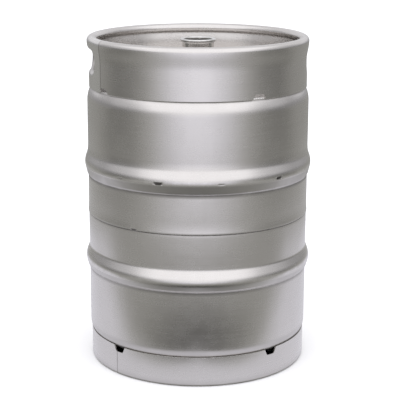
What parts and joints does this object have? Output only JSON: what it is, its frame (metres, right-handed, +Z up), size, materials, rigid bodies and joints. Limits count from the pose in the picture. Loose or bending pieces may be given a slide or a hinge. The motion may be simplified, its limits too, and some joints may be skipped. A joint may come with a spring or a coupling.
{
  "type": "beer keg",
  "caption": "Stainless steel beer keg with rolling hoops, a top chime with hand holes, a foot ring, and a well valve in its neck.",
  "frame": {"origin": "on the floor, at the keg's axis", "axes": "+Z up along the keg's axis, -Y towards the front, +X to the right; the hand holes are at the left and right"},
  "size_m": [0.41, 0.41, 0.592],
  "materials": {
    "satin_steel": "satin",
    "machined_steel": "machined",
    "spring_steel": "drawn wire",
    "polished_steel": "polished",
    "black_rubber": "moulded",
    "cage_plastic": "moulded"
  },
  "bodies": {
    "keg": {"upper_shell": "satin_steel", "lower_shell": "satin_steel", "top_chime": "satin_steel", "bottom_chime": "satin_steel", "neck": "machined_steel", "body_seal": "black_rubber", "valve_body": "machined_steel", "retaining_ring": "spring_steel", "spring_basket": "machined_steel", "safety_clip": "spring_steel", "main_spring": "spring_steel"},
    "valve": {"gas_valve_seal": "black_rubber", "tube_head": "machined_steel", "ball_cage": "cage_plastic", "down_tube": "machined_steel", "ball_spring": "spring_steel"},
    "ball": {"check_ball": "polished_steel"}
  },
  "joints": [
    {"name": "valve_slide", "type": "slide", "parent": "keg", "child": "valve", "axis": [0, 0, -1], "range_m": [0, 0.007], "stiffness_N_per_m": 5000, "springref_m": -0.006, "deforming": ["main_spring"]},
    {"name": "ball_slide", "type": "slide", "parent": "valve", "child": "ball", "axis": [0, 0, -1], "range_m": [0, 0.004], "stiffness_N_per_m": 400, "springref_m": -0.004, "deforming": ["ball_spring"]}
  ]
}
